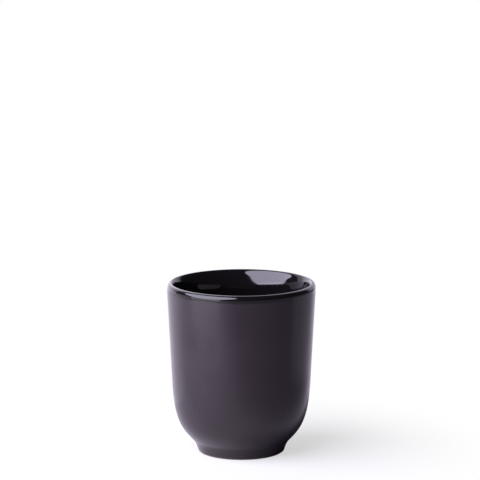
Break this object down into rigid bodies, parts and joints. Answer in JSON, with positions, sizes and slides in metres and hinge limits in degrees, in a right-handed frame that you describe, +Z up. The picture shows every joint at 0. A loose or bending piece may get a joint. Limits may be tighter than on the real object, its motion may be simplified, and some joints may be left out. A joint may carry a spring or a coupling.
{
  "type": "handleless cup",
  "caption": "Small round handleless cup with a slightly tapered wall, full belly and low foot ring, satin dark outside with a glossy black lining and lip.",
  "frame": {"origin": "centre of the foot ring's bearing face, on the surface that the cup stands on", "axes": "+Z up along the cup's axis of revolution, towards the rim; X and Y level"},
  "size_m": [0.075, 0.075, 0.0869],
  "materials": {
    "bare_clay": "unglazed fine stoneware, matt and slightly sandy",
    "gloss_glaze": "glossy black glaze",
    "satin_glaze": "satin aubergine-black glaze"
  },
  "bodies": {
    "root": {"clay_body": "bare_clay", "gloss_lining": "gloss_glaze", "satin_glaze": "satin_glaze", "base_glaze": "satin_glaze"}
  },
  "joints": []
}
